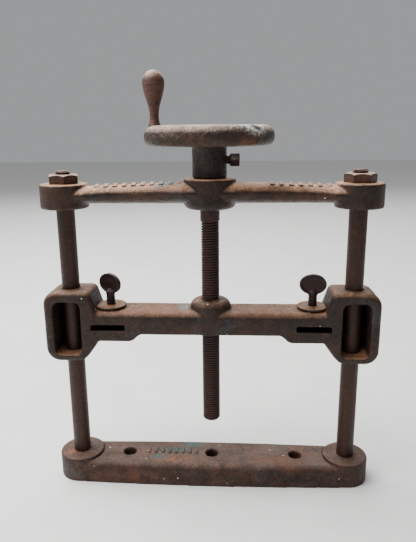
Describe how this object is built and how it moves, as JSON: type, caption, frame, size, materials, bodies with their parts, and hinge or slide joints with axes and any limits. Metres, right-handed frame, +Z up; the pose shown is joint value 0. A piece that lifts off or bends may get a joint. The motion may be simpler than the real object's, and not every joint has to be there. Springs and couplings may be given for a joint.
{
  "type": "bench screw press",
  "caption": "Hand-wheel screw press: cast base and top bar joined by guide rods, a lead screw and a travelling crosshead with tool slots and thumb screws.",
  "frame": {"origin": "centre of the base casting's underside, midway between the two guide rods", "axes": "+Z up along the lead screw, +X from the left guide rod to the right one, -Y the working side with the open pockets"},
  "size_m": [0.2976, 0.1092, 0.373],
  "materials": {
    "base_iron": "rough rusted cast iron with traces of paint",
    "painted_iron": "rough rusted cast iron with worn blue-grey paint",
    "wheel_iron": "hand-worn rusted cast iron",
    "rod_steel": "smooth turned steel with brown rust patina",
    "screw_steel": "machined steel with dark red-brown rust patina",
    "nut_steel": "rusted forged steel",
    "handle_iron": "turned handle with fine light rust"
  },
  "bodies": {
    "frame": {"base_casting": "base_iron", "base_nut_left": "nut_steel", "base_nut_right": "nut_steel", "guide_rod_left": "rod_steel", "guide_rod_right": "rod_steel", "top_bar": "painted_iron", "rod_nut_left": "nut_steel", "rod_nut_right": "nut_steel"},
    "screw": {"lead_screw": "screw_steel", "handwheel": "wheel_iron", "hub_set_screw": "nut_steel"},
    "handle": {"crank_handle": "handle_iron"},
    "carriage": {"crosshead": "painted_iron"},
    "thumb_left": {"thumb_screw_left": "screw_steel"},
    "thumb_right": {"thumb_screw_right": "screw_steel"}
  },
  "joints": [
    {"name": "screw_turn", "type": "hinge", "parent": "frame", "child": "screw", "pos_m": [0, 0, 0.27], "axis": [0, 0, 1], "range_deg": [-9660, 15240]},
    {"name": "crosshead_slide", "type": "slide", "parent": "frame", "child": "carriage", "axis": [0, 0, 1], "range_m": [-0.0979, 0.0621]},
    {"name": "handle_spin", "type": "hinge", "parent": "screw", "child": "handle", "pos_m": [-0.0458, 0, 0.33], "axis": [0, 0, 1], "continuous": true},
    {"name": "thumb_screw_left_turn", "type": "hinge", "parent": "carriage", "child": "thumb_left", "pos_m": [-0.091, 0, 0.18], "axis": [0, 0, 1], "range_deg": [-810, 450]},
    {"name": "thumb_screw_right_turn", "type": "hinge", "parent": "carriage", "child": "thumb_right", "pos_m": [0.091, 0, 0.18], "axis": [0, 0, 1], "range_deg": [-810, 450]}
  ],
  "couplings": [
    {"joint": "crosshead_slide", "follows": "screw_turn", "m_per_rad": -0.0003675}
  ]
}
